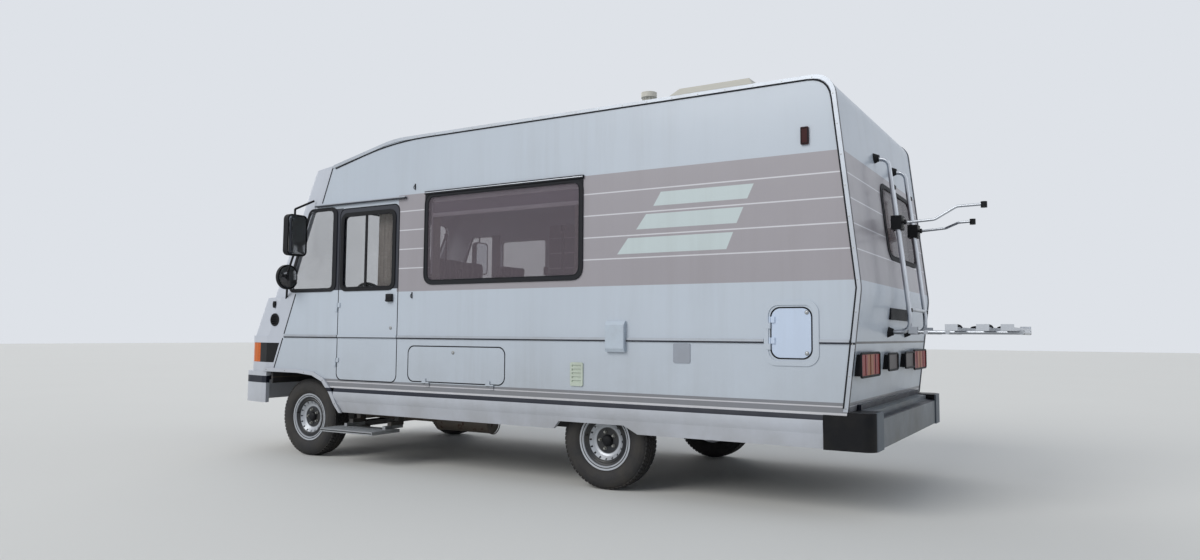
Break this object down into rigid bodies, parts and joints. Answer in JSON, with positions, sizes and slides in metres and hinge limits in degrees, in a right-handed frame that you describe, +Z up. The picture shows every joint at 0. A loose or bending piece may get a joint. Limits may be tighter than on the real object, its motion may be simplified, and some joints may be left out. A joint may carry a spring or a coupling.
{
  "type": "integrated motorhome with bicycle rack",
  "caption": "Integrated motorhome on a light van chassis, with doors, locker, roof hatch, steered front wheels and a folding bicycle rack.",
  "frame": {"origin": "on the ground under the middle of the overall box", "axes": "+X to the front, +Y to the left side, +Z up"},
  "size_m": [6.35, 2.64, 2.7149],
  "materials": {
    "tyre": "matt rubber tread",
    "rim_steel": "silver painted steel",
    "running_gear": "black painted steel",
    "cast_grey": "rough casting",
    "body_white": "white coated aluminium skin with a printed band",
    "moulding_white": "gelcoated moulding",
    "black_plastic": "grained",
    "bumper_white": "moulded, with a black band",
    "clear_glass": "clear",
    "tinted_pane": "brown tinted acrylic",
    "rubber_frame": "matt",
    "trim_metal": "brushed strip",
    "lamp_clear": "fluted",
    "lamp_amber": "fluted lens",
    "lamp_red": "fluted lens",
    "vent_plastic": "weathered",
    "rack_metal": "anodised tube",
    "floor_board": "covered board",
    "furniture_wood": "light oak foil",
    "seat_cloth": "woven upholstery",
    "curtain_cloth": "thin woven",
    "step_metal": "ribbed tread",
    "exhaust_steel": "heat stained",
    "tank_plastic": "moulded"
  },
  "bodies": {
    "motorhome": {"amber_lamps": "lamp_amber", "bench_cushions": "seat_cloth", "body_trims": "trim_metal", "cab_glass": "clear_glass", "chassis_frame": "running_gear", "curtains": "curtain_cloth", "dashboard": "black_plastic", "engine": "cast_grey", "exhaust": "exhaust_steel", "floor": "floor_board", "front_bumper": "bumper_white", "front_cowl": "moulding_white", "furniture": "furniture_wood", "grille": "black_plastic", "headlamps": "lamp_clear", "left_wall": "body_white", "living_windows": "tinted_pane", "mirrors": "black_plastic", "nose_fittings": "black_plastic", "rack_arms": "rack_metal", "rack_fittings": "black_plastic", "rack_frame": "rack_metal", "rear_axle": "running_gear", "rear_bumper": "black_plastic", "rear_ledge": "bumper_white", "rear_wall": "body_white", "red_lamps": "lamp_red", "right_wall": "body_white", "roof": "body_white", "roof_vents": "vent_plastic", "seats": "seat_cloth", "side_fittings": "vent_plastic", "skirts": "moulding_white", "step_carrier": "running_gear", "tanks": "tank_plastic", "window_frames": "rubber_frame"},
    "knuckle_left": {"knuckle_left": "running_gear"},
    "knuckle_right": {"knuckle_right": "running_gear"},
    "wheel_front_left": {"tyre_front_left": "tyre", "rim_front_left": "rim_steel"},
    "wheel_front_right": {"tyre_front_right": "tyre", "rim_front_right": "rim_steel"},
    "wheel_rear_left": {"tyre_rear_left": "tyre", "rim_rear_left": "rim_steel"},
    "wheel_rear_right": {"tyre_rear_right": "tyre", "rim_rear_right": "rim_steel"},
    "steering_wheel": {"steering_wheel": "black_plastic"},
    "driver_door": {"driver_door": "body_white", "driver_door_trim": "black_plastic", "driver_door_glass": "clear_glass"},
    "entrance_door": {"entrance_door": "body_white", "entrance_door_glass": "tinted_pane"},
    "locker_flap": {"locker_flap": "body_white"},
    "service_door": {"service_door": "body_white"},
    "bonnet": {"bonnet": "moulding_white"},
    "hatch_lid": {"hatch_lid": "vent_plastic"},
    "rack_platform": {"rack_platform": "rack_metal"},
    "entry_step": {"entry_step": "step_metal"}
  },
  "joints": [
    {"name": "steer_left", "type": "hinge", "parent": "motorhome", "child": "knuckle_left", "pos_m": [2.255, 0.845, 0.225], "axis": [0, -0.2648, 0.9643], "range_deg": [-35, 35]},
    {"name": "steer_right", "type": "hinge", "parent": "motorhome", "child": "knuckle_right", "pos_m": [2.255, -0.845, 0.225], "axis": [0, 0.2648, 0.9643], "range_deg": [-35, 35]},
    {"name": "steering_wheel_turn", "type": "hinge", "parent": "motorhome", "child": "steering_wheel", "pos_m": [2.055, 0.46, 1.32], "axis": [-0.8762, 0, 0.4819], "range_deg": [-490, 490]},
    {"name": "spin_front_left", "type": "hinge", "parent": "knuckle_left", "child": "wheel_front_left", "pos_m": [2.255, 0.905, 0.325], "axis": [0, 1, 0], "continuous": true},
    {"name": "spin_front_right", "type": "hinge", "parent": "knuckle_right", "child": "wheel_front_right", "pos_m": [2.255, -0.905, 0.325], "axis": [0, 1, 0], "continuous": true},
    {"name": "spin_rear_left", "type": "hinge", "parent": "motorhome", "child": "wheel_rear_left", "pos_m": [-0.668, 0.905, 0.325], "axis": [0, 1, 0], "continuous": true},
    {"name": "spin_rear_right", "type": "hinge", "parent": "motorhome", "child": "wheel_rear_right", "pos_m": [-0.668, -0.905, 0.325], "axis": [0, 1, 0], "continuous": true},
    {"name": "driver_door_hinge", "type": "hinge", "parent": "motorhome", "child": "driver_door", "pos_m": [1.841, 1.083, 1.2], "axis": [0, 0, -1], "range_deg": [0, 70]},
    {"name": "entrance_door_hinge", "type": "hinge", "parent": "motorhome", "child": "entrance_door", "pos_m": [0.695, -1.083, 1.2], "axis": [0, 0, 1], "range_deg": [0, 90]},
    {"name": "locker_flap_hinge", "type": "hinge", "parent": "motorhome", "child": "locker_flap", "pos_m": [0.579, 1.083, 0.668], "axis": [-1, 0, 0], "range_deg": [0, 90]},
    {"name": "service_door_hinge", "type": "hinge", "parent": "motorhome", "child": "service_door", "pos_m": [-1.871, 1.083, 1.058], "axis": [0, 0, -1], "range_deg": [0, 90]},
    {"name": "bonnet_hinge", "type": "hinge", "parent": "motorhome", "child": "bonnet", "pos_m": [2.9488, 0, 1.32833], "axis": [0, -1, 0], "range_deg": [0, 60]},
    {"name": "hatch_hinge", "type": "hinge", "parent": "motorhome", "child": "hatch_lid", "pos_m": [-1.69, 0.58, 2.66], "axis": [0, -1, 0], "range_deg": [0, 60]},
    {"name": "rack_fold", "type": "hinge", "parent": "motorhome", "child": "rack_platform", "pos_m": [-2.551, -0.03, 1.072], "axis": [0, 1, 0], "range_deg": [0, 85]},
    {"name": "step_slide", "type": "slide", "parent": "motorhome", "child": "entry_step", "axis": [0, 1, 0], "range_m": [-0.25, 0]}
  ],
  "couplings": [
    {"joint": "steer_right", "follows": "steer_left", "ratio": 1},
    {"joint": "steering_wheel_turn", "follows": "steer_left", "ratio": 14}
  ]
}
